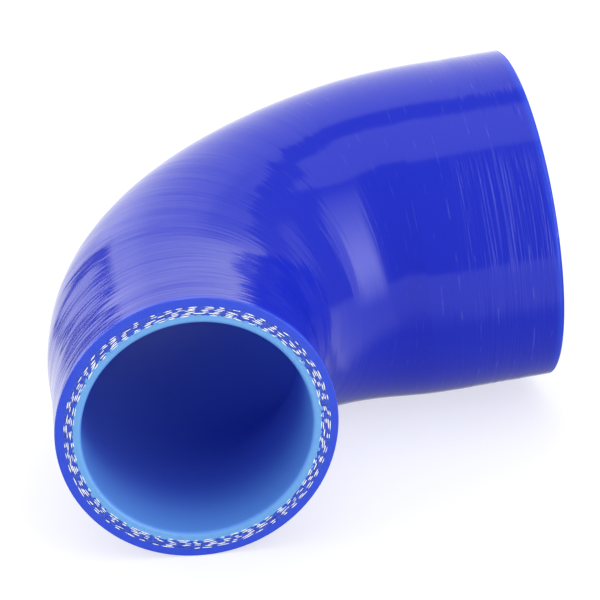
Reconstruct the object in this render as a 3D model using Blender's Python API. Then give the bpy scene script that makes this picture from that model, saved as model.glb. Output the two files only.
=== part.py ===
"""Silicone elbow hose: a ninety-degree elbow that narrows from one bore to another.

The hose is one cured laminate, so it is one closed body: a blue outer cover, woven plies that
show only at the two cut ends, and a light blue liner that is also the inside of the passage.
It lies on its side, as it comes to rest on a table: the narrow end faces -Y, the wide end +X.
"""

import math

import bmesh
import bpy
from mathutils import Matrix, Vector
from mathutils.geometry import intersect_point_tri

HOSE = "elbow_hose"

# Bores, in metres
SMALL_BORE_DIAMETER = 0.051
LARGE_BORE_DIAMETER = 0.076

# Layers of the wall, in metres, from the bore outwards
LINER_THICKNESS = 0.0018
PLIES_THICKNESS = 0.0021
COVER_THICKNESS = 0.0018
WALL = LINER_THICKNESS + PLIES_THICKNESS + COVER_THICKNESS

# Centre line: a straight leg at each end and the bend between them, in metres and degrees
SMALL_LEG_LENGTH = 0.032
LARGE_LEG_LENGTH = 0.034
BEND_RADIUS = 0.0625
BEND_ANGLE = 90.0

# How far before and after each end of the bend the bore eases into its growth or out of it, in metres
GROWTH_EASE = 0.012

# Fineness of the mesh
AROUND = 64
BEND_STEPS = 24
EASE_STEPS = 4

# Points closer than this are one point, in metres
WELD_DISTANCE = 0.00001

# Edges that turn more than this are sharp, in degrees
SHARP_ANGLE = 35.0

# Layers in the order of their materials on the mesh
LAYERS = ("cover", "plies", "liner")

# Finish of each layer: its colour in linear light and its roughness
COVER_COLOUR = (0.020, 0.028, 0.560, 1.0)
PLIES_COLOUR = (0.240, 0.300, 0.780, 1.0)
LINER_COLOUR = (0.140, 0.380, 0.830, 1.0)
COVER_ROUGHNESS = 0.25
PLIES_ROUGHNESS = 0.70
LINER_ROUGHNESS = 0.45


def clear_scene():
    """Remove every object, so that the hose is alone."""
    for item in list(bpy.data.objects):
        bpy.data.objects.remove(item, do_unlink=True)


def material(name, colour, roughness):
    """A plain finish for one layer of the wall."""
    made = bpy.data.materials.new(name)
    made.use_nodes = True
    shader = made.node_tree.nodes["Principled BSDF"]
    shader.inputs["Base Color"].default_value = colour
    shader.inputs["Roughness"].default_value = roughness
    made.diffuse_color = colour
    return made


def eased(distance):
    """How much of a distance past a point counts, with the start rounded over the ease on both sides of it."""
    if abs(distance) >= GROWTH_EASE:
        return max(distance, 0.0)
    return (distance + GROWTH_EASE) ** 2 / (4 * GROWTH_EASE)


def centre_line():
    """Stations of the centre line: each a point, the direction along it, and its share of the growth (0 to 1).

    The bend starts at the origin, heading along +Y, and turns towards +X. The narrow leg comes
    before it and the wide leg after it. The bore grows evenly through the bend, and the growth
    starts and stops softly, a little way into the legs.
    """
    bend_length = BEND_RADIUS * math.radians(BEND_ANGLE)
    ease = [GROWTH_EASE * step / EASE_STEPS for step in range(1, EASE_STEPS + 1)]
    before = [-SMALL_LEG_LENGTH] + [-distance for distance in reversed(ease) if distance < SMALL_LEG_LENGTH]
    inside = [bend_length * step / BEND_STEPS for step in range(BEND_STEPS + 1)]
    after = [bend_length + distance for distance in ease if distance < LARGE_LEG_LENGTH]
    stations = []
    for way in before + inside + after + [bend_length + LARGE_LEG_LENGTH]:
        in_bend = min(max(way, 0.0), bend_length)
        angle = in_bend / BEND_RADIUS
        along = Vector((math.sin(angle), math.cos(angle), 0.0))
        turned = BEND_RADIUS * Vector((1.0 - math.cos(angle), math.sin(angle), 0.0))
        share = (eased(way) - eased(way - bend_length)) / bend_length
        stations.append((turned + (way - in_bend) * along, along, share))
    return stations


def radius_at(share, added):
    """Bore radius at a share of the growth, plus a thickness of wall."""
    growth = LARGE_BORE_DIAMETER - SMALL_BORE_DIAMETER
    return (SMALL_BORE_DIAMETER + share * growth) / 2 + added


def unit_ring(name):
    """A round outline of radius one, which the sweep scales at each of its points."""
    curve = bpy.data.curves.new(name, "CURVE")
    outline = curve.splines.new("POLY")
    outline.points.add(AROUND - 1)
    for index, spot in enumerate(outline.points):
        angle = 2.0 * math.pi * index / AROUND
        spot.co = (math.cos(angle), math.sin(angle), 0.0, 1.0)
    outline.use_cyclic_u = True
    ring = bpy.data.objects.new(name, curve)
    bpy.context.scene.collection.objects.link(ring)
    return ring


def swept_skin(added):
    """One skin of the hose as a mesh: a curve on the centre line, bevelled round, with a radius at each point."""
    ring = unit_ring("skin_outline")
    curve = bpy.data.curves.new("skin_line", "CURVE")
    curve.dimensions = "3D"
    curve.twist_mode = "Z_UP"
    curve.bevel_mode = "OBJECT"
    curve.bevel_object = ring
    stations = centre_line()
    spline = curve.splines.new("POLY")
    spline.points.add(len(stations) - 1)
    for spot, (point, _, share) in zip(spline.points, stations):
        spot.co = (*point, 1.0)
        spot.radius = radius_at(share, added)
    sweep = bpy.data.objects.new("skin_line", curve)
    bpy.context.scene.collection.objects.link(sweep)
    bpy.context.view_layer.update()
    evaluated = sweep.evaluated_get(bpy.context.evaluated_depsgraph_get())
    mesh = bpy.data.meshes.new_from_object(evaluated)
    for item in (sweep, ring):
        bpy.data.objects.remove(item, do_unlink=True)
    return mesh


def add_skin(shell, mesh, layer):
    """Add one swept skin to the shell and give the edges it brought."""
    edges_before = set(shell.edges)
    faces_before = set(shell.faces)
    shell.from_mesh(mesh)
    bpy.data.meshes.remove(mesh)
    for face in set(shell.faces) - faces_before:
        face.material_index = LAYERS.index(layer)
        face.smooth = True
    return set(shell.edges) - edges_before


def end_loop(edges, point, along):
    """The open edges that lie in the plane of one end."""
    near = WALL / 10
    return [
        edge for edge in edges
        if edge.is_boundary and all(abs((vert.co - point).dot(along)) < near for vert in edge.verts)
    ]


def widen_loop(shell, loop, point, radius):
    """Draw a loop of edges out to a new radius in its own plane; gives the new loop and the faces between."""
    made = bmesh.ops.extrude_edge_only(shell, edges=loop)["geom"]
    for vert in (item for item in made if isinstance(item, bmesh.types.BMVert)):
        vert.co = point + (vert.co - point).normalized() * radius
    edges = [item for item in made if isinstance(item, bmesh.types.BMEdge)]
    faces = [item for item in made if isinstance(item, bmesh.types.BMFace)]
    return [edge for edge in edges if edge.is_boundary], faces


def close_end(shell, bore_edges, station):
    """Close one cut end with its three rings, from the bore outwards: liner, plies and cover."""
    point, along, share = station
    loop = end_loop(bore_edges, point, along)
    depth = 0.0
    for layer, thickness in (("liner", LINER_THICKNESS), ("plies", PLIES_THICKNESS), ("cover", COVER_THICKNESS)):
        depth += thickness
        loop, faces = widen_loop(shell, loop, point, radius_at(share, depth))
        for face in faces:
            face.material_index = LAYERS.index(layer)
            face.smooth = False


def centre_of_mass(shell):
    """Centre of the enclosed volume, from the pyramids that the faces make with the origin."""
    total = 0.0
    moment = Vector()
    for face in shell.faces:
        first = face.verts[0].co
        for second, third in zip(face.verts[1:], face.verts[2:]):
            volume = first.dot(second.co.cross(third.co))
            total += volume
            moment += volume * (first + second.co + third.co) / 4
    return moment / total


def resting_normal(shell):
    """Outward normal of the hull face to lie on: the most downward one with the centre of mass above it."""
    centre = centre_of_mass(shell)
    hull = shell.copy()
    kept = bmesh.ops.convex_hull(hull, input=hull.verts)["geom"]
    stable = []
    for face in (item for item in kept if isinstance(item, bmesh.types.BMFace)):
        corners = [vert.co for vert in face.verts]
        normal = (corners[1] - corners[0]).cross(corners[2] - corners[0]).normalized()
        if normal.dot(corners[0] - centre) < 0:
            normal = -normal
        foot = centre + normal * normal.dot(corners[0] - centre)
        if intersect_point_tri(foot, *corners):
            stable.append(normal)
    hull.free()
    return min(stable, key=lambda normal: normal.z)


def lay_down(shell):
    """Turn the hose so that it rests on the ground, then centre it on the origin."""
    down = Vector((0.0, 0.0, -1.0))
    turn = resting_normal(shell).rotation_difference(down).to_matrix()
    bmesh.ops.rotate(shell, cent=Vector(), matrix=turn, verts=shell.verts)
    spots = [vert.co for vert in shell.verts]
    low = Vector([min(spot[axis] for spot in spots) for axis in range(3)])
    high = Vector([max(spot[axis] for spot in spots) for axis in range(3)])
    middle = (low + high) / 2
    shift = Matrix.Translation((-middle.x, -middle.y, -low.z))
    bmesh.ops.transform(shell, matrix=shift, verts=shell.verts)


def build_hose(collection):
    """The whole hose as one closed mesh with a material for each layer."""
    shell = bmesh.new()
    add_skin(shell, swept_skin(WALL), "cover")
    bore_edges = add_skin(shell, swept_skin(0.0), "liner")
    stations = centre_line()
    for station in (stations[0], stations[-1]):
        close_end(shell, bore_edges, station)
    bmesh.ops.remove_doubles(shell, verts=shell.verts, dist=WELD_DISTANCE)
    bmesh.ops.recalc_face_normals(shell, faces=shell.faces)
    lay_down(shell)
    mesh = bpy.data.meshes.new(HOSE)
    shell.to_mesh(mesh)
    shell.free()
    mesh.set_sharp_from_angle(angle=math.radians(SHARP_ANGLE))
    mesh.materials.append(material("cover", COVER_COLOUR, COVER_ROUGHNESS))
    mesh.materials.append(material("plies", PLIES_COLOUR, PLIES_ROUGHNESS))
    mesh.materials.append(material("liner", LINER_COLOUR, LINER_ROUGHNESS))
    hose = bpy.data.objects.new(HOSE, mesh)
    collection.objects.link(hose)


def main():
    """Build the hose alone in the scene, in a collection named for it."""
    clear_scene()
    collection = bpy.data.collections.new("silicone_elbow_hose")
    bpy.context.scene.collection.children.link(collection)
    build_hose(collection)


main()
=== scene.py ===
"""Looks of a silicone elbow hose: a blue right-angle reducer that lies on its side on a pale table.

The hose is one cured laminate. Its three layers are dressed apart, because each shows its own
material: the glossy cover, the woven plies whose threads end in the cut faces, and the light liner.
"""

import logging
import math
import random
from collections.abc import Iterable, Iterator
from dataclasses import dataclass, field
from enum import Enum

import bmesh
import bpy
from mathutils import Matrix, Vector, noise


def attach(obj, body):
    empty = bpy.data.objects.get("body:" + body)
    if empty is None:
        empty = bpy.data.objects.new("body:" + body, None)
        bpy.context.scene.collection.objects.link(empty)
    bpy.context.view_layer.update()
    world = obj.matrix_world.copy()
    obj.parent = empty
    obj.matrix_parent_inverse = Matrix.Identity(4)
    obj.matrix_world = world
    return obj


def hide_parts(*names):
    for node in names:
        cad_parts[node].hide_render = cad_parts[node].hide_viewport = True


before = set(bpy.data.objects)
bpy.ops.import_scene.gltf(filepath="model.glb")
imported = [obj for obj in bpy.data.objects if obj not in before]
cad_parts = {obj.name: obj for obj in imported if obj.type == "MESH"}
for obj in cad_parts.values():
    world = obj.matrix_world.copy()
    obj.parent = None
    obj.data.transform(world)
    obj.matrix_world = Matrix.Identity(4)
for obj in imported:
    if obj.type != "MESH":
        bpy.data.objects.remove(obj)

LOG = logging.getLogger("hose")

MM = 0.001
NODE = "elbow_hose"
BODY = "root"

# Vertex attributes that the patterns follow: the way round the hose with the way along it in
# millimetres, the distance from the nearer cut end in millimetres, and the skin's stretch
HOOP = "hoop"
FROM_END = "from_end"
STRETCH = "stretch"

# Vertex attribute of the studio's boards: how solid they are
OPACITY = "opacity"

# Nearer than this, in metres, a point is in a cut end's plane, on its round corner, or on another point
IN_PLANE = 0.01 * MM
ON_CORNER = 0.1 * MM
SAME_POINT = 0.005 * MM

# Faces across a rounded corner, and the place of the cut faces' material on each layer
ROUNDING_SEGMENTS = 3
CUT_MATERIAL = 1

# Boards are cut into steps of so many degrees, but at least so many of them. Points nearer than the
# weld are one, and rounding may put a board's first column this many degrees before its start
BOARD_STEP = 2
LEAST_STEPS = 4
BOARD_WELD = 0.1 * MM
SEAM = 0.01

# Third axis of the hose's own frame, and up in the studio
UP = Vector((0, 0, 1))

Colour = tuple[float, float, float, float]
Triple = tuple[float, float, float]
Span = tuple[float, float]
Edges = list[bmesh.types.BMEdge]

# Rings of the narrow and the wide leg, then of the bend, and those of a skin hidden in the wall
Steps = tuple[tuple[int, int], int]
PLAIN_STEPS: Steps = ((2, 2), 24)


class End(Enum):
    """The two cut ends of the hose."""

    NARROW = "narrow"
    WIDE = "wide"


def linear(hex_colour: str) -> Colour:
    """Turn an sRGB hex colour into linear light.

    Args:
        hex_colour: Six hex digits, such as "1d2bc8".

    Returns:
        Red, green, blue and an alpha of one.
    """
    parts = [int(hex_colour[start:start + 2], 16) / 255 for start in (0, 2, 4)]
    lit = [part / 12.92 if part <= 0.04045 else ((part + 0.055) / 1.055) ** 2.4 for part in parts]
    return lit[0], lit[1], lit[2], 1.0


def add_node(
    tree: bpy.types.NodeTree, kind: str, inputs: dict[int | str, object] | None = None, **settings: object
) -> bpy.types.Node:
    """Add a node to a tree with its settings, values and links.

    Args:
        tree: The tree that gets the node.
        kind: The node's type name.
        inputs: For each input by name or number, an output socket to link or a value to set.
        **settings: Properties of the node itself.

    Returns:
        The new node.
    """
    node = tree.nodes.new(kind)
    for name, value in settings.items():
        setattr(node, name, value)
    for key, value in (inputs or {}).items():
        if isinstance(value, bpy.types.NodeSocket):
            tree.links.new(value, node.inputs[key])
        else:
            node.inputs[key].default_value = value
    return node


def new_material(name: str) -> tuple[bpy.types.Material, bpy.types.NodeTree, bpy.types.Node]:
    """Make an empty material with its output node.

    Args:
        name: What the real material is.

    Returns:
        The material, its tree and its output node.
    """
    made = bpy.data.materials.new(name)
    made.use_nodes = True
    made.node_tree.nodes.clear()
    output = add_node(made.node_tree, "ShaderNodeOutputMaterial")
    return made, made.node_tree, output


def only(items: Iterable[object], kind: type) -> list:
    """Those of the items that are of one kind."""
    return [item for item in items if isinstance(item, kind)]


def to_mesh(shell: bmesh.types.BMesh, name: str) -> bpy.types.Mesh:
    """Turn a bmesh into a mesh and free it.

    Args:
        shell: The bmesh, which can't be used afterwards.
        name: The mesh's name.

    Returns:
        The mesh.
    """
    mesh = bpy.data.meshes.new(name)
    shell.to_mesh(mesh)
    shell.free()
    return mesh


def add_object(
    shell: bmesh.types.BMesh, name: str, materials: list[bpy.types.Material]
) -> bpy.types.Object:
    """Turn a bmesh into an object of the scene.

    Args:
        shell: The bmesh, in its place.
        name: The object's name.
        materials: Its materials in order.

    Returns:
        The object, at the origin.
    """
    mesh = to_mesh(shell, name)
    for material in materials:
        mesh.materials.append(material)
    thing = bpy.data.objects.new(name, mesh)
    bpy.context.scene.collection.objects.link(thing)
    return thing


@dataclass(frozen=True)
class GlossySilicone:
    """Cover silicone cured under a wet wrap of nylon tape: a glossy skin with fine hoop ridges.

    The tape's edges and threads print the ridges, so a reflection breaks into brush-like streaks.
    A pattern is sized in millimetres along the hose and in noise cells for each radian round it.
    The tape's threads are finer than the render shows, so their ridges are drawn 0.45 mm apart.
    """

    colour: Colour = linear("1d2fd0")
    # Painted light: the lighter blue close to the cut rims, where light shines through the cover
    painted_rim_light_colour: Colour = linear("2e54f4")
    light_line_colour: Colour = linear("5a66dc")
    roughness: float = 0.11
    ior: float = 1.43
    ridge_pitch_mm: float = 0.45
    ridge_cells: float = 3.0
    ridge_height_mm: float = 0.012
    calm_from_mm: float = 45.0
    calm_to_mm: float = 125.0
    calm_share: float = 0.3
    rough_from_mm: float = 128.0
    rough_full_mm: float = 146.0
    rough_share: float = 4.0
    tape_pitch_mm: float = 4.6
    tape_line_mm: float = 0.22
    tape_from_mm: float = 95.0
    tape_full_mm: float = 110.0
    line_patch_pitch_mm: float = 2.5
    line_patch_cells: float = 7.0
    line_patch_shift: Triple = (4.0, 1.0, 7.0)
    line_patch_noise: Span = (0.53, 0.66)
    line_patch_share: float = 0.4
    rim_start_mm: float = 0.2
    rim_width_mm: float = 2.4
    painted_rim_light_share: float = 0.85

    def material(self) -> bpy.types.Material:
        """Build the cover's material.

        Returns:
            The material, whose patterns follow the cover's vertex attributes.
        """
        made, tree, output = new_material("glossy_silicone_tape_wrapped")
        hoop = add_node(tree, "ShaderNodeAttribute", attribute_name=HOOP)
        from_end = add_node(tree, "ShaderNodeAttribute", attribute_name=FROM_END)
        stretch = add_node(tree, "ShaderNodeAttribute", attribute_name=STRETCH)
        # Hoop ridges: long round the hose, one pitch along it
        ridge_space = add_node(tree, "ShaderNodeMapping", {
            "Vector": hoop.outputs["Vector"],
            "Scale": (self.ridge_cells, self.ridge_cells, 1.0 / self.ridge_pitch_mm),
        })
        ridges = add_node(tree, "ShaderNodeTexNoise", {
            "Vector": ridge_space.outputs["Vector"], "Scale": 1.0, "Detail": 0.0,
        })
        # The wide leg's wrap lay smoother than the one round the bend
        parts = add_node(tree, "ShaderNodeSeparateXYZ", {"Vector": hoop.outputs["Vector"]})
        calm = add_node(tree, "ShaderNodeMapRange", {
            "Value": parts.outputs["Z"], "From Min": self.calm_from_mm, "From Max": self.calm_to_mm,
            "To Min": 1.0, "To Max": self.calm_share,
        })
        rough = add_node(tree, "ShaderNodeMapRange", {
            "Value": parts.outputs["Z"], "From Min": self.rough_from_mm, "From Max": self.rough_full_mm,
            "To Min": 0.0, "To Max": self.rough_share,
        }, interpolation_type="SMOOTHSTEP")
        along = add_node(tree, "ShaderNodeMath", {
            0: calm.outputs["Result"], 1: rough.outputs["Result"],
        }, operation="ADD")
        squeeze = add_node(tree, "ShaderNodeMath", {0: stretch.outputs["Fac"], 1: 1.0}, operation="MINIMUM")
        strength = add_node(tree, "ShaderNodeMath", {
            0: squeeze.outputs[0], 1: along.outputs[0],
        }, operation="MULTIPLY")
        height = add_node(tree, "ShaderNodeMath", {
            0: ridges.outputs["Fac"], 1: strength.outputs[0],
        }, operation="MULTIPLY")
        bump = add_node(tree, "ShaderNodeBump", {
            "Height": height.outputs[0], "Distance": self.ridge_height_mm * MM, "Strength": 1.0,
        })
        # Thin lighter lines, here and there, along the edges of the tape
        from_edge = add_node(tree, "ShaderNodeMath", {
            0: parts.outputs["Z"], 1: self.tape_pitch_mm / 2,
        }, operation="PINGPONG")
        edge = add_node(tree, "ShaderNodeMapRange", {
            "Value": from_edge.outputs[0], "From Min": self.tape_line_mm / 2, "From Max": self.tape_line_mm,
            "To Min": 1.0, "To Max": 0.0,
        })
        patch_space = add_node(tree, "ShaderNodeMapping", {
            "Vector": hoop.outputs["Vector"], "Location": self.line_patch_shift,
            "Scale": (self.line_patch_cells, self.line_patch_cells, 1.0 / self.line_patch_pitch_mm),
        })
        patches = add_node(tree, "ShaderNodeTexNoise", {
            "Vector": patch_space.outputs["Vector"], "Scale": 1.0, "Detail": 2.0, "Roughness": 0.6,
        })
        line_patches = add_node(tree, "ShaderNodeMapRange", {
            "Value": patches.outputs["Fac"], "From Min": self.line_patch_noise[0], "From Max": self.line_patch_noise[1],
            "To Min": 0.0, "To Max": self.line_patch_share,
        })
        reach = add_node(tree, "ShaderNodeMapRange", {
            "Value": parts.outputs["Z"], "From Min": self.tape_from_mm, "From Max": self.tape_full_mm,
        })
        patchy_edge = add_node(tree, "ShaderNodeMath", {
            0: edge.outputs["Result"], 1: line_patches.outputs["Result"],
        }, operation="MULTIPLY")
        line_mask = add_node(tree, "ShaderNodeMath", {
            0: patchy_edge.outputs[0], 1: reach.outputs["Result"],
        }, operation="MULTIPLY")
        # Painted light: the colour is lighter close to the rim, standing in for cut light that shines
        # through the cover there
        painted_rim_light_mask = add_node(tree, "ShaderNodeMapRange", {
            "Value": from_end.outputs["Fac"], "From Min": self.rim_start_mm, "From Max": self.rim_width_mm,
            "To Min": self.painted_rim_light_share, "To Max": 0.0,
        }, interpolation_type="SMOOTHSTEP")
        with_painted_rim_light = add_node(tree, "ShaderNodeMix", {
            "Factor": painted_rim_light_mask.outputs["Result"], "A": self.colour, "B": self.painted_rim_light_colour,
        }, data_type="RGBA")
        with_light_lines = add_node(tree, "ShaderNodeMix", {
            "Factor": line_mask.outputs[0], "A": with_painted_rim_light.outputs["Result"], "B": self.light_line_colour,
        }, data_type="RGBA")
        shader = add_node(tree, "ShaderNodeBsdfPrincipled", {
            "Base Color": with_light_lines.outputs["Result"], "Roughness": self.roughness, "IOR": self.ior,
            "Normal": bump.outputs["Normal"],
        })
        tree.links.new(shader.outputs["BSDF"], output.inputs["Surface"])
        return made


@dataclass(frozen=True)
class CutSilicone:
    """Silicone sliced by a blade: satin, and brighter than the skin because light scatters out of it."""

    name: str
    colour: Colour
    dark_colour: Colour
    roughness: float = 0.42
    ior: float = 1.41
    blotch_mm: float = 1.4
    blotch_height_mm: float = 0.03
    contrast: float = 1.0

    def material(self) -> bpy.types.Material:
        """Build the material of one cut layer.

        Returns:
            The material, blotched between its two colours.
        """
        made, tree, output = new_material(self.name)
        place = add_node(tree, "ShaderNodeTexCoord")
        blotches = add_node(tree, "ShaderNodeTexNoise", {
            "Vector": place.outputs["Object"], "Scale": 1.0 / (self.blotch_mm * MM), "Detail": 3.0,
        })
        # Noise lies about its middle, and a higher contrast takes up a narrower part of it
        middle = 0.5
        reach = middle / self.contrast
        share = add_node(tree, "ShaderNodeMapRange", {
            "Value": blotches.outputs["Fac"], "From Min": middle - reach, "From Max": middle + reach,
        })
        colour = add_node(tree, "ShaderNodeMix", {
            "Factor": share.outputs["Result"], "A": self.dark_colour, "B": self.colour,
        }, data_type="RGBA")
        bump = add_node(tree, "ShaderNodeBump", {
            "Height": blotches.outputs["Fac"], "Distance": self.blotch_height_mm * MM, "Strength": 1.0,
        })
        shader = add_node(tree, "ShaderNodeBsdfPrincipled", {
            "Base Color": colour.outputs["Result"], "Roughness": self.roughness, "IOR": self.ior,
            "Normal": bump.outputs["Normal"],
        })
        tree.links.new(shader.outputs["BSDF"], output.inputs["Surface"])
        return made


@dataclass(frozen=True)
class BoreSilicone:
    """The satin wall of the passage, with painted light and shade: lighter towards a cut end, where light
    comes in, and darker deeper in, where the bore is shaded.
    """

    painted_lit_mouth_colour: Colour = linear("6cacff")
    painted_shaded_deep_colour: Colour = linear("4a6cdc")
    mouth_depth_mm: float = 26.0
    roughness: float = 0.38
    ior: float = 1.41

    def material(self) -> bpy.types.Material:
        """Build the bore's material.

        Returns:
            The material, whose painted shade darkens it with the distance from the cut end.
        """
        made, tree, output = new_material("liner_silicone_bore")
        from_end = add_node(tree, "ShaderNodeAttribute", attribute_name=FROM_END)
        # Painted light and shade: the colour goes from the lit mouth to the shaded depth
        depth = add_node(tree, "ShaderNodeMapRange", {
            "Value": from_end.outputs["Fac"], "From Min": 0.0, "From Max": self.mouth_depth_mm,
        }, interpolation_type="SMOOTHSTEP")
        colour = add_node(tree, "ShaderNodeMix", {
            "Factor": depth.outputs["Result"], "A": self.painted_lit_mouth_colour, "B": self.painted_shaded_deep_colour,
        }, data_type="RGBA")
        shader = add_node(tree, "ShaderNodeBsdfPrincipled", {
            "Base Color": colour.outputs["Result"], "Roughness": self.roughness, "IOR": self.ior,
        })
        tree.links.new(shader.outputs["BSDF"], output.inputs["Surface"])
        return made


@dataclass(frozen=True)
class PolyesterThread:
    """Cut ends of white polyester yarn, wetted blue in places by the silicone round them.

    A painted glow, an emission, makes the yarn give back a little more light than a plain white would.
    """

    colour: Colour = linear("fafcff")
    wet_colour: Colour = linear("a4bcf6")
    roughness: float = 0.7
    # Painted light: strength of the emission that makes the white yarn glow brighter
    painted_glow: float = 0.25
    wet_spot_mm: float = 0.9
    wet_noise: Span = (0.35, 0.45)

    def material(self) -> bpy.types.Material:
        """Build the thread's material.

        Returns:
            The material, white with blue wetted spots.
        """
        made, tree, output = new_material("polyester_yarn_cut")
        place = add_node(tree, "ShaderNodeTexCoord")
        spots = add_node(tree, "ShaderNodeTexNoise", {
            "Vector": place.outputs["Object"], "Scale": 1.0 / (self.wet_spot_mm * MM), "Detail": 2.0,
        })
        wet = add_node(tree, "ShaderNodeMapRange", {
            "Value": spots.outputs["Fac"], "From Min": self.wet_noise[0], "From Max": self.wet_noise[1],
            "To Min": 1.0, "To Max": 0.0,
        })
        colour = add_node(tree, "ShaderNodeMix", {
            "Factor": wet.outputs["Result"], "A": self.colour, "B": self.wet_colour,
        }, data_type="RGBA")
        shader = add_node(tree, "ShaderNodeBsdfPrincipled", {
            "Base Color": colour.outputs["Result"], "Roughness": self.roughness,
            "Emission Color": colour.outputs["Result"], "Emission Strength": self.painted_glow,
        })
        tree.links.new(shader.outputs["BSDF"], output.inputs["Surface"])
        return made


@dataclass(frozen=True)
class HoseLine:
    """The hose's centre line and bore, in its own frame and in the row's, all in metres.

    In its own frame the corner of the two straight axes is the origin, the narrow leg comes up
    from -Y, and the wide leg leaves along +X. The bore grows evenly through the bend, and the
    growth starts and stops softly.
    """

    narrow_bore: float = 51 * MM
    wide_bore: float = 76 * MM
    liner: float = 1.8 * MM
    plies: float = 2.1 * MM
    cover: float = 1.8 * MM
    narrow_leg: float = 32 * MM
    wide_leg: float = 34 * MM
    bend_radius: float = 62.5 * MM
    growth_ease: float = 12 * MM
    # The corner and the directions of the two legs in the row's frame, as the solid lies there
    corner: Vector = Vector((-34.7077, 26.275, 36.0079)) * MM
    wide_axis: Vector = Vector((0.993209, -0.002998, 0.116308))
    narrow_axis: Vector = Vector((-0.002998, 0.998676, 0.051351))

    @property
    def wall(self) -> float:
        """Thickness of the whole laminate."""
        return self.liner + self.plies + self.cover

    @property
    def bend_length(self) -> float:
        """Length of the centre line in the bend."""
        return self.bend_radius * math.pi / 2

    @property
    def length(self) -> float:
        """Length of the centre line from end to end."""
        return self.narrow_leg + self.bend_length + self.wide_leg

    def to_row(self) -> Matrix:
        """The transform from the hose's own frame to the row's."""
        across, along = self.wide_axis.normalized(), self.narrow_axis.normalized()
        turn = Matrix((across, along, across.cross(along))).transposed()
        return Matrix.Translation(self.corner) @ turn.to_4x4()

    def station(self, way: float) -> tuple[Vector, Vector]:
        """Find a point of the centre line.

        Args:
            way: Distance along the centre line from the narrow end.

        Returns:
            The point and the direction along the line there.
        """
        into_bend = way - self.narrow_leg
        if into_bend <= 0:
            return Vector((0, into_bend - self.bend_radius, 0)), Vector((0, 1, 0))
        if into_bend >= self.bend_length:
            past = into_bend - self.bend_length
            return Vector((self.bend_radius + past, 0, 0)), Vector((1, 0, 0))
        turned = into_bend / self.bend_radius
        point = self.bend_radius * Vector((1 - math.cos(turned), math.sin(turned) - 1, 0))
        return point, Vector((math.sin(turned), math.cos(turned), 0))

    def way_at(self, spot: Vector) -> float:
        """Find the station whose plane holds a spot.

        Args:
            spot: A point in the hose's own frame.

        Returns:
            Distance along the centre line from the narrow end.
        """
        if spot.y <= -self.bend_radius:
            return self.narrow_leg + self.bend_radius + spot.y
        if spot.x >= self.bend_radius:
            return self.narrow_leg + self.bend_length + spot.x - self.bend_radius
        turned = math.atan2(spot.y + self.bend_radius, self.bend_radius - spot.x)
        return self.narrow_leg + self.bend_radius * turned

    def stretch(self, spot: Vector) -> float:
        """Metres of skin at a spot for each metre of the centre line: under 1 inside the bend."""
        if spot.y <= -self.bend_radius or spot.x >= self.bend_radius:
            return 1.0
        return math.hypot(spot.x - self.bend_radius, spot.y + self.bend_radius) / self.bend_radius

    def eased(self, distance: float) -> float:
        """How much of a distance past a point counts, with the start rounded over the ease."""
        if abs(distance) >= self.growth_ease:
            return max(distance, 0.0)
        return (distance + self.growth_ease) ** 2 / (4 * self.growth_ease)

    def bore_radius(self, way: float) -> float:
        """Radius of the bore at a distance along the centre line."""
        into_bend = way - self.narrow_leg
        share = (self.eased(into_bend) - self.eased(into_bend - self.bend_length)) / self.bend_length
        return (self.narrow_bore + share * (self.wide_bore - self.narrow_bore)) / 2

    def end_way(self, end: End) -> float:
        """Distance along the centre line of one cut end."""
        return 0.0 if end is End.NARROW else self.length


@dataclass(frozen=True)
class WrapRidges:
    """Relief that the tape wrap leaves in the cover: long soft swells and finer hoop ridges.

    Both are noise, with a pitch along the hose and noise cells for each radian round it.
    """

    swell_height: float = 0.12 * MM
    swell_pitch_mm: float = 5.0
    swell_cells: float = 1.3
    ridge_height: float = 0.04 * MM
    ridge_pitch_mm: float = 1.1
    ridge_cells: float = 2.2
    ridge_shift: float = 9.0
    calm_from: float = 50 * MM
    calm_to: float = 125 * MM
    calm_share: float = 0.2
    rough_hoop: float = 149 * MM
    rough_width: float = 9 * MM
    rough_share: float = 0.9

    def height(self, angle: float, way: float, stretch: float) -> float:
        """Height of the relief.

        Args:
            angle: Way round the hose, in radians.
            way: Way along the hose, in metres.
            stretch: Length of the skin there for each metre of the way.

        Returns:
            Metres outwards from the nominal skin.
        """
        round_x, round_y, along = math.cos(angle), math.sin(angle), way / MM
        swell = noise.noise(Vector((
            self.swell_cells * round_x, self.swell_cells * round_y, along / self.swell_pitch_mm,
        )))
        ridge = noise.noise(Vector((
            self.ridge_cells * round_x + self.ridge_shift, self.ridge_cells * round_y,
            along / self.ridge_pitch_mm,
        )))
        past = min(max((way - self.calm_from) / (self.calm_to - self.calm_from), 0), 1)
        strength = 1 - (1 - self.calm_share) * past
        strength += self.rough_share * math.exp(-(((way - self.rough_hoop) / self.rough_width) ** 2))
        return strength * min(stretch, 1) * (self.swell_height * swell + self.ridge_height * ridge)


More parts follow.
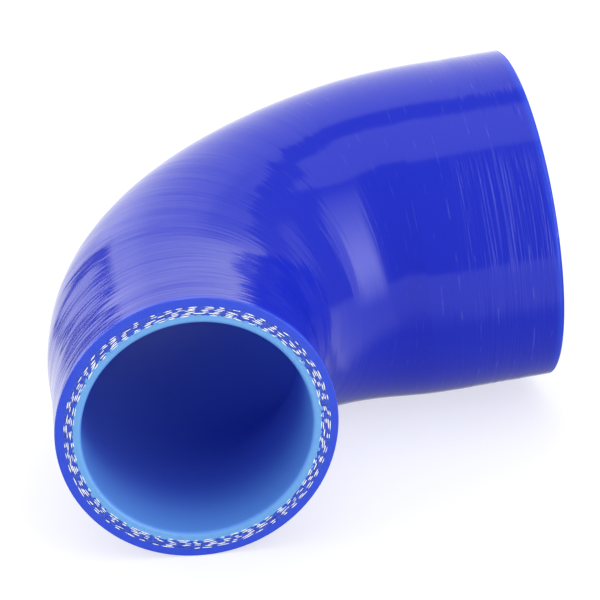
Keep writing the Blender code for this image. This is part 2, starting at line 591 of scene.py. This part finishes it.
@dataclass(frozen=True)
class TubeMaker:
    """Builds the layers of the hose as closed tubes with bmesh operators."""

    line: HoseLine
    around: int = 128

    def ring_edges(self, shell: bmesh.types.BMesh, way: float) -> Edges:
        """Find the open edges in the plane of one station.

        Args:
            shell: The mesh to search.
            way: The station's distance along the line.

        Returns:
            The open edges there.
        """
        point, along = self.line.station(way)
        return [
            edge for edge in shell.edges
            if edge.is_boundary and all(abs((vert.co - point).dot(along)) < IN_PLANE for vert in edge.verts)
        ]

    def draw_leg(self, shell: bmesh.types.BMesh, ring: Edges, shift: Vector, steps: int) -> Edges:
        """Draw a ring out into a straight leg.

        Args:
            shell: The mesh that holds the ring.
            ring: Open edges at the leg's start.
            shift: The leg as a vector.
            steps: How many rings the leg is cut into.

        Returns:
            The open edges at the leg's far end.
        """
        made = bmesh.ops.extrude_edge_only(shell, edges=ring)["geom"]
        verts = only(made, bmesh.types.BMVert)
        bmesh.ops.translate(shell, vec=shift, verts=verts)
        far = [edge for edge in only(made, bmesh.types.BMEdge) if edge.is_boundary]
        moved = set(verts)
        lengthwise = [
            edge for vert in verts for edge in vert.link_edges if edge.other_vert(vert) not in moved
        ]
        bmesh.ops.subdivide_edges(shell, edges=lengthwise, cuts=steps - 1, use_grid_fill=True)
        return far

    def sweep(self, radius: float, leg_steps: tuple[int, int], bend_steps: int) -> bmesh.types.BMesh:
        """Sweep a plain tube of one radius along the hose's line.

        Args:
            radius: Radius of the tube, only a start: the skin is moved to its own radius later.
            leg_steps: Rings in the narrow leg and in the wide leg.
            bend_steps: Rings in the bend.

        Returns:
            The open tube in the hose's own frame.
        """
        line = self.line
        shell = bmesh.new()
        stand_up = Matrix.Rotation(math.radians(90), 4, "X")
        start = Matrix.Translation(line.station(0.0)[0])
        ring = bmesh.ops.create_circle(
            shell, cap_ends=False, segments=self.around, radius=radius, matrix=start @ stand_up,
        )["verts"]
        edges = list(dict.fromkeys(edge for vert in ring for edge in vert.link_edges))
        edges = self.draw_leg(shell, edges, Vector((0, line.narrow_leg, 0)), leg_steps[0])
        verts = list(dict.fromkeys(vert for edge in edges for vert in edge.verts))
        spun = bmesh.ops.spin(
            shell, geom=verts + edges, cent=Vector((line.bend_radius, -line.bend_radius, 0)),
            axis=UP, angle=math.radians(-90), steps=bend_steps, use_duplicate=False,
        )["geom_last"]
        self.draw_leg(shell, only(spun, bmesh.types.BMEdge), Vector((line.wide_leg, 0, 0)), leg_steps[1])
        return shell

    def shape_skin(self, shell: bmesh.types.BMesh, depth: float, relief: WrapRidges | None) -> None:
        """Move every point of a swept tube out to the radius of one skin.

        Args:
            shell: The swept tube.
            depth: Thickness of wall between the bore and this skin.
            relief: Ridges of the skin, or none.
        """
        line = self.line
        for vert in shell.verts:
            way = line.way_at(vert.co)
            point, along = line.station(way)
            outwards = (vert.co - point).normalized()
            radius = line.bore_radius(way) + depth
            if relief:
                angle = math.atan2(outwards.z, outwards.dot(along.cross(UP)))
                radius += relief.height(angle, way, line.stretch(vert.co))
            vert.co = point + outwards * radius

    def widen(
        self, shell: bmesh.types.BMesh, ring: Edges, way: float, radius: float,
    ) -> list[bmesh.types.BMFace]:
        """Draw a ring in its own plane to another radius.

        Args:
            shell: The mesh that holds the ring.
            ring: Open edges in the plane of one station.
            way: That station's distance along the line.
            radius: The radius to go to.

        Returns:
            The faces between the ring and the new one.
        """
        point = self.line.station(way)[0]
        made = bmesh.ops.extrude_edge_only(shell, edges=ring)["geom"]
        for vert in only(made, bmesh.types.BMVert):
            vert.co = point + (vert.co - point).normalized() * radius
        return only(made, bmesh.types.BMFace)

    def closed_tube(
        self, inner: float, outer: float, skin_steps: Steps, relief: WrapRidges | None = None,
        fine_inside: bool = False, roundings: Span = (0.0, 0.0),
    ) -> bmesh.types.BMesh:
        """Build one layer as a closed tube with rounded corners at its cut ends.

        Args:
            inner: Depth of wall from the bore to the layer's inside.
            outer: Depth of wall from the bore to the layer's outside.
            skin_steps: Rings of the legs and of the bend on the skin that shows.
            relief: Ridges of the outer skin, or none.
            fine_inside: Whether the inside is the skin that shows.
            roundings: Radius of the ends' inner and outer corners, zero for a sharp one.

        Returns:
            The tube in the hose's own frame, marked for the patterns.
        """
        line = self.line
        shell = self.sweep(line.narrow_bore / 2, *(PLAIN_STEPS if fine_inside else skin_steps))
        self.shape_skin(shell, outer, relief)
        inside = self.sweep(line.narrow_bore / 2, *(skin_steps if fine_inside else PLAIN_STEPS))
        self.shape_skin(inside, inner, None)
        mesh = to_mesh(inside, "inside")
        outside_verts = set(shell.verts)
        shell.from_mesh(mesh)
        bpy.data.meshes.remove(mesh)
        for face in shell.faces:
            face.smooth = True
        for end in End:
            way = line.end_way(end)
            ring = [edge for edge in self.ring_edges(shell, way) if edge.verts[0] in outside_verts]
            for face in self.widen(shell, ring, way, line.bore_radius(way) + inner):
                face.material_index = CUT_MATERIAL
                face.smooth = False
        bmesh.ops.remove_doubles(shell, verts=shell.verts, dist=SAME_POINT)
        bmesh.ops.recalc_face_normals(shell, faces=shell.faces)
        for end in End:
            self.round_corners(shell, end, dict(zip((inner, outer), roundings)))
        self.mark(shell)
        return shell

    def round_corners(self, shell: bmesh.types.BMesh, end: End, roundings: dict[float, float]) -> None:
        """Bevel the circular corners of one cut end.

        Args:
            shell: The closed tube.
            end: Which end.
            roundings: For each depth of wall, the radius of the rounding.
        """
        way = self.line.end_way(end)
        point, along = self.line.station(way)
        for depth, rounding in roundings.items():
            if not rounding:
                continue
            radius = self.line.bore_radius(way) + depth
            corner = [
                edge for edge in shell.edges
                if all(
                    abs((vert.co - point).dot(along)) < IN_PLANE
                    and abs((vert.co - point).length - radius) < ON_CORNER
                    for vert in edge.verts
                )
            ]
            made = bmesh.ops.bevel(
                shell, geom=corner, offset=rounding, offset_type="OFFSET", segments=ROUNDING_SEGMENTS,
                profile=0.5, affect="EDGES", material=-1, clamp_overlap=True,
            )
            for face in made["faces"]:
                face.smooth = True

    def mark(self, shell: bmesh.types.BMesh) -> None:
        """Store on each vertex where it is round and along the hose, for the patterns.

        Args:
            shell: The closed mesh in the hose's own frame.
        """
        line = self.line
        hoop = shell.verts.layers.float_vector.new(HOOP)
        from_end = shell.verts.layers.float.new(FROM_END)
        stretch = shell.verts.layers.float.new(STRETCH)
        for vert in shell.verts:
            way = line.way_at(vert.co)
            point, along = line.station(way)
            outwards = (vert.co - point).normalized()
            vert[hoop] = (outwards.dot(along.cross(UP)), outwards.z, way / MM)
            vert[from_end] = min(way, line.length - way) / MM
            vert[stretch] = line.stretch(vert.co)

    def finish(
        self, shell: bmesh.types.BMesh, name: str, materials: list[bpy.types.Material],
    ) -> bpy.types.Object:
        """Turn a shell into a piece of the hose, in its place.

        Args:
            shell: The closed mesh in the hose's own frame.
            name: The piece's name.
            materials: The piece's materials in order.

        Returns:
            The piece, riding on the hose's body.
        """
        bmesh.ops.transform(shell, matrix=self.line.to_row(), verts=shell.verts)
        piece = add_object(shell, name, materials)
        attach(piece, BODY)
        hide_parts(NODE)
        return piece


@dataclass
class Cover:
    """The glossy outer layer with its hoop ridges and the bright ring where it is cut."""

    line: HoseLine
    leg_steps: tuple[int, int] = (114, 121)
    bend_steps: int = 340
    outer_rounding: float = 0.3 * MM
    skin: GlossySilicone = field(default_factory=GlossySilicone)
    relief: WrapRidges = field(default_factory=WrapRidges)

    def build(self) -> list[bpy.types.Object]:
        """Build and dress the cover.

        Returns:
            The layer's one piece.
        """
        maker = TubeMaker(self.line)
        inner = self.line.liner + self.line.plies
        shell = maker.closed_tube(
            inner, self.line.wall, (self.leg_steps, self.bend_steps), self.relief,
            roundings=(0.0, self.outer_rounding),
        )
        # Painted light: the cut ring's blue is lighter than the skin's, for light that scatters out of the
        # cut face
        cut = CutSilicone("cover_silicone_cut", linear("345af2"), linear("2a4ae2"))
        return [maker.finish(shell, "hose_cover", [self.skin.material(), cut.material()])]


def grain_mesh() -> bpy.types.Mesh:
    """A small smooth ball, which is flattened and stretched into each grain of the cut faces."""
    ball = bmesh.new()
    bmesh.ops.create_uvsphere(ball, u_segments=8, v_segments=4, radius=1.0)
    for face in ball.faces:
        face.smooth = True
    return to_mesh(ball, "grain")


def set_grains(places: Iterable[Matrix]) -> bmesh.types.BMesh:
    """Put a copy of the grain at each place.

    Args:
        places: For each grain the transform of a round one into its place and shape.

    Returns:
        All the grains as one mesh.
    """
    grain = grain_mesh()
    shell = bmesh.new()
    for place in places:
        copy = grain.copy()
        copy.transform(place)
        shell.from_mesh(copy)
        bpy.data.meshes.remove(copy)
    bpy.data.meshes.remove(grain)
    return shell


def drift(dice: random.Random, reach: float) -> float:
    """A random amount of up to a reach, either way."""
    return dice.uniform(-reach, reach)


@dataclass(frozen=True)
class Grain:
    """Where one grain lies in a cut face, and its size, in metres and radians."""

    angle: float
    radius: float
    tilt: float
    thick: float
    long: float
    proud: float

    def place(self, line: HoseLine, end: End) -> Matrix:
        """Work out the transform that turns a round grain of radius one into this one.

        Args:
            line: The hose's line.
            end: The cut end that it lies in.

        Returns:
            The transform, into the hose's own frame.
        """
        point, along = line.station(line.end_way(end))
        face_turn = Matrix((along.cross(UP), UP, along)).transposed().to_4x4()
        return (
            Matrix.Translation(point) @ face_turn @ Matrix.Rotation(self.angle, 4, "Z")
            @ Matrix.Translation((self.radius, 0, 0)) @ Matrix.Rotation(self.tilt, 4, "Z")
            @ Matrix.Diagonal((self.thick / 2, self.long / 2, self.proud, 1))
        )


@dataclass
class Plies:
    """The fabric layer: three rows of white thread ends set in blue silicone.

    Each bundle of threads is cut into a lens, and its two bright edges are what shows. Drifts in
    angle are shares of the bundles' pitch, leans are in degrees, and ranges multiply a size.
    """

    line: HoseLine
    row_depths: tuple[float, ...] = (0.2 * MM, 0.95 * MM, 1.68 * MM)
    bundle_pitch: tuple[float, ...] = (2.9 * MM, 3.0 * MM, 3.1 * MM)
    thread_long: float = 2.6 * MM
    thread_thick: float = 0.24 * MM
    thread_gap: float = 0.40 * MM
    thread_proud: float = 0.08 * MM
    gap_proud: float = 0.03 * MM
    gap_share: float = 0.8
    missing_share: float = 0.12
    bundle_drift: float = 0.12
    bundle_lean: float = 5.0
    bundle_range: Span = (0.5, 1.15)
    thread_slide_mm: float = 0.3
    thread_drift_mm: float = 0.05
    thread_lean: float = 3.0
    thick_range: Span = (0.75, 1.15)
    long_range: Span = (0.6, 1.1)
    seed: int = 11

    def build(self) -> list[bpy.types.Object]:
        """Build the layer and its thread ends at both cut ends.

        Returns:
            The layer, the thread ends and the shaded gaps between them.
        """
        maker = TubeMaker(self.line)
        shell = maker.closed_tube(self.line.liner, self.line.liner + self.line.plies, PLAIN_STEPS)
        ground = CutSilicone(
            "ply_silicone_cut", linear("446cec"), linear("2a3ebe"), blotch_mm=0.5, contrast=2.5,
        )
        layer = maker.finish(shell, "hose_plies", [ground.material()])
        deep = CutSilicone("ply_silicone_shaded", linear("22349c"), linear("1c2a80"))
        threads, gaps = self.thread_places()
        ends = maker.finish(set_grains(threads), "thread_ends", [PolyesterThread().material()])
        shaded = maker.finish(set_grains(gaps), "thread_gaps", [deep.material()])
        return [layer, ends, shaded]

    def thread_places(self) -> tuple[list[Matrix], list[Matrix]]:
        """Work out where the bright edges of the thread bundles sit, and the shaded gaps between them.

        Returns:
            The bright edges' transforms and the gaps'.
        """
        dice = random.Random(self.seed)
        threads, gaps = [], []
        for end in End:
            bore = self.line.bore_radius(self.line.end_way(end))
            for depth, pitch in zip(self.row_depths, self.bundle_pitch):
                radius = bore + self.line.liner + depth
                count = round(2 * math.pi * radius / pitch)
                start = dice.random()
                for index in range(count):
                    angle = 2 * math.pi * (index + start + drift(dice, self.bundle_drift)) / count
                    lean = math.radians(drift(dice, self.bundle_lean))
                    long = self.thread_long * dice.uniform(*self.bundle_range)
                    gaps.append(Grain(
                        angle, radius, lean, self.thread_thick, self.gap_share * long, self.gap_proud,
                    ).place(self.line, end))
                    for side in (-1, 1):
                        if dice.random() < self.missing_share:
                            continue
                        threads.append(Grain(
                            angle + drift(dice, self.thread_slide_mm) * MM / radius,
                            radius + side * self.thread_gap / 2 + drift(dice, self.thread_drift_mm) * MM,
                            lean + math.radians(drift(dice, self.thread_lean)),
                            self.thread_thick * dice.uniform(*self.thick_range),
                            long * dice.uniform(*self.long_range),
                            self.thread_proud,
                        ).place(self.line, end))
        return threads, gaps


@dataclass
class Liner:
    """The light blue inner layer, which is also the wall of the passage.

    The tongues' drift is a share of their pitch, their lean is in degrees, and their range
    multiplies a size.
    """

    line: HoseLine
    leg_steps: tuple[int, int] = (16, 16)
    bend_steps: int = 64
    mouth_rounding: float = 0.8 * MM
    tongue_pitch: float = 1.9 * MM
    tongue_long: float = 1.5 * MM
    tongue_thick: float = 0.7 * MM
    tongue_proud: float = 0.04 * MM
    tongue_drift: float = 0.3
    tongue_depth_mm: Span = (-0.1, 0.15)
    tongue_lean: float = 25.0
    tongue_range: Span = (0.5, 1.2)
    seed: int = 5

    def build(self) -> list[bpy.types.Object]:
        """Build and dress the liner and the tongues of it between the innermost threads.

        Returns:
            The liner and its tongues.
        """
        maker = TubeMaker(self.line)
        shell = maker.closed_tube(
            0.0, self.line.liner, (self.leg_steps, self.bend_steps), fine_inside=True,
            roundings=(self.mouth_rounding, 0.0),
        )
        cut = CutSilicone("liner_silicone_cut", linear("80c0ff"), linear("6cb0fa"))
        tube = maker.finish(shell, "hose_liner", [BoreSilicone().material(), cut.material()])
        tongues = maker.finish(set_grains(self.tongue_places()), "liner_tongues", [cut.material()])
        return [tube, tongues]

    def tongue_places(self) -> Iterator[Matrix]:
        """Work out where the liner's silicone was pressed out between the threads.

        Yields:
            Each tongue's transform.
        """
        dice = random.Random(self.seed)
        for end in End:
            radius = self.line.bore_radius(self.line.end_way(end)) + self.line.liner
            count = round(2 * math.pi * radius / self.tongue_pitch)
            for index in range(count):
                yield Grain(
                    2 * math.pi * (index + drift(dice, self.tongue_drift)) / count,
                    radius + dice.uniform(*self.tongue_depth_mm) * MM,
                    math.radians(drift(dice, self.tongue_lean)),
                    self.tongue_thick * dice.uniform(*self.tongue_range),
                    self.tongue_long * dice.uniform(*self.tongue_range),
                    self.tongue_proud,
                ).place(self.line, end)


def direction(azimuth: float, elevation: float) -> Vector:
    """Unit vector for an azimuth from +Y towards +X and an elevation, both in degrees."""
    az, el = math.radians(azimuth), math.radians(elevation)
    return Vector((math.cos(el) * math.sin(az), math.cos(el) * math.cos(az), math.sin(el)))


def rise(distance: float, width: float) -> float:
    """Smooth step from 0 at the start of a width to 1 at its end."""
    share = min(max(distance / width, 0.0), 1.0)
    return share * share * (3 - 2 * share)


def place_stage(sheet: bmesh.types.BMesh, name: str, material: bpy.types.Material) -> bpy.types.Object:
    """Add a mesh to the scene as one object, not attached to the hose's body.

    Args:
        sheet: The mesh, in its place.
        name: The thing's name.
        material: Its one material.

    Returns:
        The thing.
    """
    thing = add_object(sheet, name, [material])
    return thing


@dataclass(frozen=True)
class Board:
    """A curved board that stands round the hose and shows only in its gloss: a lit screen or a dark flag.

    Attributes:
        name: The board's name.
        azimuths: Where it starts and ends, in degrees from +Y towards +X.
        elevations: Its lower and upper edge as the hose sees them, in degrees.
        level: Its brightness, where one is white.
        fades: How wide its start, end, bottom and top edges fade, in degrees.
    """

    name: str
    azimuths: Span
    elevations: Span
    level: float
    fades: tuple[float, float, float, float]

    def opacity(self, spot: Vector) -> float:
        """Work out how solid the board is at a spot of it.

        Args:
            spot: The spot, seen from the point that the board faces.

        Returns:
            From 0 for clear to 1 for solid.
        """
        low, high = self.elevations
        elevation = math.degrees(math.atan2(spot.z, math.hypot(spot.x, spot.y)))
        azimuth = math.degrees(math.atan2(spot.x, spot.y))
        width = self.azimuths[1] - self.azimuths[0]
        past = (azimuth - self.azimuths[0] + SEAM) % 360 - SEAM
        start, end, bottom, top = self.fades
        sides = 1.0 if width >= 360 else rise(past, start) * rise(width - past, end)
        return sides * rise(elevation - low, bottom) * rise(high - elevation, top)

    def build(self, middle: Vector, distance: float) -> None:
        """Stand the board round a point.

        Args:
            middle: The point it faces.
            distance: Metres from that point.
        """
        low, high = self.elevations
        height, width = high - low, self.azimuths[1] - self.azimuths[0]
        sheet = bmesh.new()
        corner = sheet.verts.new(direction(self.azimuths[0], low) * distance)
        bmesh.ops.spin(
            sheet, geom=[corner], cent=(0, 0, 0), axis=direction(self.azimuths[0] + 90, 0),
            angle=math.radians(height), steps=max(LEAST_STEPS, round(height / BOARD_STEP)),
            use_duplicate=False,
        )
        bmesh.ops.spin(
            sheet, geom=list(sheet.verts) + list(sheet.edges), cent=(0, 0, 0), axis=UP,
            angle=-math.radians(width), steps=max(LEAST_STEPS, round(width / BOARD_STEP)),
            use_duplicate=False,
        )
        bmesh.ops.remove_doubles(sheet, verts=sheet.verts, dist=BOARD_WELD)
        layer = sheet.verts.layers.float.new(OPACITY)
        for vert in sheet.verts:
            vert[layer] = self.opacity(vert.co)
        bmesh.ops.translate(sheet, vec=middle, verts=sheet.verts)
        thing = place_stage(sheet, self.name, self.material())
        for ray in ("camera", "diffuse", "shadow", "transmission"):
            setattr(thing, "visible_" + ray, False)

    def material(self) -> bpy.types.Material:
        """Build the board's material.

        Returns:
            The material, a plain glow that thins out at the soft edges.
        """
        made, tree, output = new_material(self.name + "_board")
        solid = add_node(tree, "ShaderNodeAttribute", attribute_name=OPACITY)
        clear = add_node(tree, "ShaderNodeBsdfTransparent")
        glow = add_node(tree, "ShaderNodeEmission", {"Strength": self.level})
        both = add_node(tree, "ShaderNodeMixShader", {
            0: solid.outputs["Fac"], 1: clear.outputs[0], 2: glow.outputs[0],
        })
        tree.links.new(both.outputs[0], output.inputs["Surface"])
        return made


# What the hose mirrors in the photograph, from the farthest board to the nearest
BOARDS = (
    Board("table_under", (0, 360), (-90, -8), 0.34, (0.1, 0.1, 0.1, 4)),
    Board("table_behind", (-138, 60), (-40, -2), 1.1, (3, 10, 20, 3)),
    Board("table_in_front", (158, 234), (-56, -12), 0.95, (3, 3, 26, 2)),
    Board("table_to_right", (60, 162), (-54, -9), 1.1, (10, 3, 18, 3)),
    Board("overhead_screen", (0, 360), (62, 90), 1.2, (0.1, 0.1, 5, 0.1)),
    Board("backdrop_screen", (-138, 48), (-6, 65), 1.2, (3, 1.5, 3, 3)),
    Board("backdrop_left", (-138, -28), (-24, 60), 1.6, (3, 4, 4, 4)),
    Board("backdrop_falloff", (8, 50), (33, 64), 0.88, (16, 1.5, 6, 5)),
    Board("backdrop_bright_spot", (-36, -10), (4, 38), 1.5, (8, 8, 8, 8)),
    Board("right_flag", (46.5, 163), (-10, 66), 0.36, (1.5, 2, 2, 2)),
    Board("right_pale_patch", (66, 90), (4, 50), 0.85, (8, 8, 10, 10)),
    Board("gap_over_backdrop", (-40, 50), (65.5, 82), 0.3, (3, 8, 2, 2)),
    Board("gap_to_right", (38, 92), (57, 77), 0.32, (3, 18, 4, 4)),
    Board("softbox_screen", (114.5, 162), (-24, 66), 1.75, (2, 2, 12, 22)),
    Board("softbox_core", (125.5, 160.5), (-24, 52), 4.9, (3, 12, 30, 44)),
    Board("front_flag", (162, 228), (-13, 67), 0.26, (2, 4, 2, 2)),
    Board("stand_in_backdrop", (-27.5, -22.8), (-14, 22), 0.06, (1, 1, 3, 3)),
)


@dataclass(frozen=True)
class Lamp:
    """A rectangular soft lamp that faces the hose, and doesn't show in its gloss.

    Attributes:
        name: The lamp's name.
        aim: Azimuth and elevation at which the hose sees it, in degrees.
        distance: Metres from the hose.
        size: Width and height in metres.
        radiance: How bright its face is, where one is white.
    """

    name: str
    aim: Span
    distance: float
    size: Span
    radiance: float

    def build(self, middle: Vector) -> None:
        """Hang the lamp.

        Args:
            middle: The point it faces.
        """
        lamp = bpy.data.lights.new(self.name, "AREA")
        lamp.shape = "RECTANGLE"
        lamp.size, lamp.size_y = self.size
        lamp.energy = self.radiance * math.pi * self.size[0] * self.size[1]
        hung = bpy.data.objects.new(self.name, lamp)
        towards = direction(*self.aim)
        hung.matrix_world = (
            Matrix.Translation(middle + towards * self.distance)
            @ (-towards).to_track_quat("-Z", "Y").to_matrix().to_4x4()
        )
        hung.visible_camera = False
        hung.visible_glossy = False
        bpy.context.scene.collection.objects.link(hung)


# What lights the colours, while the boards are what the gloss mirrors
LAMPS = (
    Lamp("softbox", (142, 25), 1.1, (0.86, 1.25), 1.1),
    Lamp("overhead", (180, 83), 1.05, (0.75, 0.62), 0.6),
    Lamp("backdrop", (-22, 32), 2.1, (4.2, 2.6), 0.55),
    Lamp("left_fill", (-85, 12), 1.4, (1.4, 1.2), 0.6),
)


@dataclass
class Studio:
    """Table, lamps and boards of a small product studio, and the camera."""

    hose_middle: Vector = Vector((0, 0, 45)) * MM
    camera_place: Vector = Vector((-65.129, -455.664, 197.827)) * MM
    camera_aim: Vector = Vector((-2.04, 0.0, 35.683)) * MM
    camera_roll: float = -1.04
    camera_angle: float = 17.686
    surround_colour: Colour = (1.0, 1.0, 1.0, 1.0)
    ambient: float = 0.68
    table_glow: float = 0.66
    table_glow_up: float = 0.22
    table_colour: Colour = (0.5, 0.5, 0.5, 1.0)
    table_half_size: Triple = (1.6, 1.13, 1.0)
    table_middle: Triple = (0.0, 0.90, 0.0)
    farthest_board: float = 2.0
    board_spacing: float = 0.05

    def build(self) -> None:
        """Build the whole studio."""
        bpy.context.scene.view_settings.view_transform = "Standard"
        self.add_camera()
        self.add_sky()
        self.add_table()
        for lamp in LAMPS:
            lamp.build(self.hose_middle)
        for index, board in enumerate(BOARDS):
            board.build(self.hose_middle, self.farthest_board - index * self.board_spacing)

    def add_camera(self) -> None:
        """Set up the camera at the photograph's viewing angle."""
        lens = bpy.data.cameras.new("camera")
        lens.sensor_width = 36.0
        lens.angle = math.radians(self.camera_angle)
        lens.clip_start = 10 * MM
        camera = bpy.data.objects.new("camera", lens)
        facing = (self.camera_aim - self.camera_place).to_track_quat("-Z", "Y").to_matrix().to_4x4()
        roll = Matrix.Rotation(math.radians(self.camera_roll), 4, "Z")
        camera.matrix_world = Matrix.Translation(self.camera_place) @ facing @ roll
        bpy.context.scene.collection.objects.link(camera)
        bpy.context.scene.camera = camera

    def seen(self, tree: bpy.types.NodeTree) -> bpy.types.NodeSocket:
        """Tell the rays that show the background: from the camera, in gloss and through glass.

        Args:
            tree: The tree that gets the nodes.

        Returns:
            A socket that is 1 for those rays and 0 for the rest.
        """
        path = add_node(tree, "ShaderNodeLightPath")
        gloss = add_node(tree, "ShaderNodeMath", {
            0: path.outputs["Is Camera Ray"], 1: path.outputs["Is Glossy Ray"],
        }, operation="ADD", use_clamp=True)
        through = add_node(tree, "ShaderNodeMath", {
            0: gloss.outputs[0], 1: path.outputs["Is Transmission Ray"],
        }, operation="ADD", use_clamp=True)
        return through.outputs[0]

    def level(self, tree: bpy.types.NodeTree, lighting: float, shown: float) -> bpy.types.NodeSocket:
        """A strength that differs for the rays that light things and the rays that show it."""
        return add_node(tree, "ShaderNodeMapRange", {
            "Value": self.seen(tree), "To Min": lighting, "To Max": shown,
        }).outputs["Result"]

    def add_sky(self) -> None:
        """A white surround to look at, and a plain soft light from all round."""
        world = bpy.data.worlds.new("surround")
        bpy.context.scene.world = world
        world.use_nodes = True
        tree = world.node_tree
        tree.nodes.clear()
        light = add_node(tree, "ShaderNodeBackground", {
            "Color": self.surround_colour, "Strength": self.level(tree, self.ambient, 1.0),
        })
        output = add_node(tree, "ShaderNodeOutputWorld")
        tree.links.new(light.outputs["Background"], output.inputs["Surface"])

    def add_table(self) -> None:
        """A pale table lit a little from beneath; the gloss of the hose mirrors boards in its stead."""
        sheet = bmesh.new()
        bmesh.ops.create_grid(sheet, x_segments=1, y_segments=1, size=1.0)
        bmesh.ops.scale(sheet, vec=self.table_half_size, verts=sheet.verts)
        bmesh.ops.translate(sheet, vec=self.table_middle, verts=sheet.verts)
        made, tree, output = new_material("white_laminate_table")
        diffuse = add_node(tree, "ShaderNodeBsdfDiffuse", {"Color": self.table_colour})
        glow = add_node(tree, "ShaderNodeEmission", {
            "Strength": self.level(tree, self.table_glow_up, self.table_glow),
        })
        both = add_node(tree, "ShaderNodeAddShader", {0: diffuse.outputs[0], 1: glow.outputs[0]})
        tree.links.new(both.outputs[0], output.inputs["Surface"])
        table = place_stage(sheet, "table", made)
        table.visible_glossy = False


def main() -> None:
    """Build the hose's layers from the outside in, then the studio, and report each piece."""
    logging.basicConfig(level=logging.INFO, format="%(message)s")
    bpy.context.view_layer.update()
    line = HoseLine()
    for layer in (Cover(line), Plies(line), Liner(line)):
        for piece in layer.build():
            LOG.info("%s: %d faces", piece.name, len(piece.data.polygons))
    Studio().build()
    LOG.info("studio: %d boards, %d lamps", len(BOARDS), len(LAMPS))
    bpy.context.view_layer.update()


if __name__ == "__main__":
    main()
